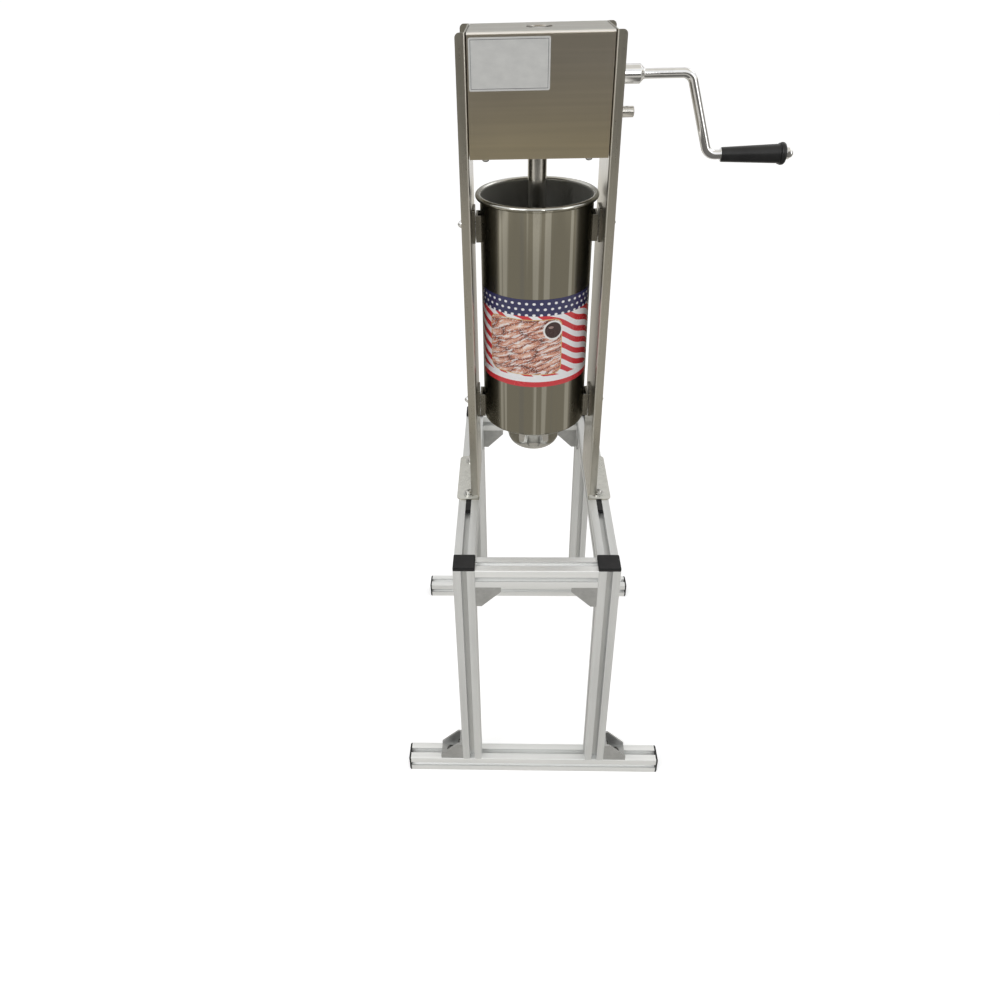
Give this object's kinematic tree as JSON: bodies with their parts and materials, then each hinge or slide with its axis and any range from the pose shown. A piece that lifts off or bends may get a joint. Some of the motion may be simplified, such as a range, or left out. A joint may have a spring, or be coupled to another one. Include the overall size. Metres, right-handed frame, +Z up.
{
  "type": "churro maker",
  "caption": "Upright hand-cranked churro maker: a polished dough cylinder hung between two channel posts, a geared rack plunger, and an aluminium profile stand.",
  "frame": {"origin": "on the floor, under the middle of the whole object's box", "axes": "+Z up, +X towards the crank side, +Y towards the back"},
  "size_m": [0.5194, 0.44, 1.058],
  "materials": {
    "profile_aluminium": "satin anodised extrusion",
    "cast_aluminium": "bead-blasted die casting",
    "brushed_stainless": "brushed, vertical grain",
    "polished_stainless": "mirror polished",
    "bright_stainless": "turned and polished",
    "chrome": "bright chrome plate",
    "zinc_steel": "zinc plated",
    "gear_steel": "machined, oiled",
    "bronze": "turned bronze",
    "black_plastic": "moulded",
    "grip_plastic": "moulded, satin",
    "silicone": "moulded silicone"
  },
  "bodies": {
    "stand_and_frame": {"base_bar_front": "profile_aluminium", "base_bar_rear": "profile_aluminium", "leg_front_left": "profile_aluminium", "leg_front_right": "profile_aluminium", "leg_rear_left": "profile_aluminium", "leg_rear_right": "profile_aluminium", "side_rail_left": "profile_aluminium", "side_rail_right": "profile_aluminium", "cross_rail_front": "profile_aluminium", "cross_rail_rear": "profile_aluminium", "base_bar_caps": "black_plastic", "leg_caps": "black_plastic", "base_brackets": "cast_aluminium", "cross_brackets": "cast_aluminium", "side_brackets": "cast_aluminium", "bracket_bolts": "zinc_steel", "slot_nuts": "zinc_steel", "post_left": "brushed_stainless", "post_right": "brushed_stainless", "foot_bolts": "zinc_steel", "foot_washers": "zinc_steel", "foot_nut_bars": "black_plastic", "housing_cover": "brushed_stainless", "housing_base": "brushed_stainless", "base_screws": "zinc_steel", "side_plate_left": "gear_steel", "side_plate_right": "gear_steel", "side_bolts": "zinc_steel", "shaft_bushes": "bronze", "guide_bridge": "gear_steel", "rod_guide_lower": "bronze", "rod_guide_upper": "bronze", "dough_cylinder": "polished_stainless", "outlet_spout": "bright_stainless", "cylinder_lugs": "bright_stainless", "hanger_plates": "brushed_stainless", "hanger_bolts": "zinc_steel", "acorn_nuts": "chrome"},
    "crank": {"upper_shaft": "bright_stainless", "small_gear": "gear_steel", "upper_collars": "gear_steel", "upper_pins": "zinc_steel", "crank_arm": "chrome", "grip_washers": "chrome", "grip_end_nut": "chrome"},
    "grip": {"grip": "grip_plastic"},
    "pinion_shaft": {"lower_shaft": "bright_stainless", "large_gear": "gear_steel", "rack_pinion": "gear_steel", "lower_collars": "gear_steel", "lower_pins": "zinc_steel"},
    "plunger": {"rack_rod": "chrome", "piston": "bright_stainless", "piston_seal": "silicone", "piston_nut": "zinc_steel", "air_valve": "chrome"},
    "nozzle_plate": {"nozzle_plate": "bright_stainless"},
    "outlet_nut": {"outlet_nut": "chrome"}
  },
  "joints": [
    {"name": "crank_turn", "type": "hinge", "parent": "stand_and_frame", "child": "crank", "pos_m": [-0.0587, 0.019, 1.004], "axis": [1, 0, 0], "range_deg": [-320, 3960]},
    {"name": "grip_spin", "type": "hinge", "parent": "crank", "child": "grip", "pos_m": [0.1703, 0.019, 0.91], "axis": [1, 0, 0], "continuous": true},
    {"name": "pinion_turn", "type": "hinge", "parent": "stand_and_frame", "child": "pinion_shaft", "pos_m": [-0.0587, 0.019, 0.962], "axis": [1, 0, 0], "range_deg": [-1590, 135]},
    {"name": "plunger_slide", "type": "slide", "parent": "stand_and_frame", "child": "plunger", "axis": [0, 0, 1], "range_m": [-0.025, 0.305]},
    {"name": "nozzle_drop", "type": "slide", "parent": "stand_and_frame", "child": "nozzle_plate", "axis": [0, 0, -1], "range_m": [0, 0.0185]},
    {"name": "nut_turn", "type": "hinge", "parent": "nozzle_plate", "child": "outlet_nut", "pos_m": [-0.0587, 0, 0.525], "axis": [0, 0, -1], "range_deg": [0, 2160]}
  ],
  "couplings": [
    {"joint": "pinion_turn", "follows": "crank_turn", "ratio": -0.4},
    {"joint": "plunger_slide", "follows": "crank_turn", "m_per_rad": 0.0044},
    {"joint": "nozzle_drop", "follows": "nut_turn", "m_per_rad": 0.00047746}
  ]
}
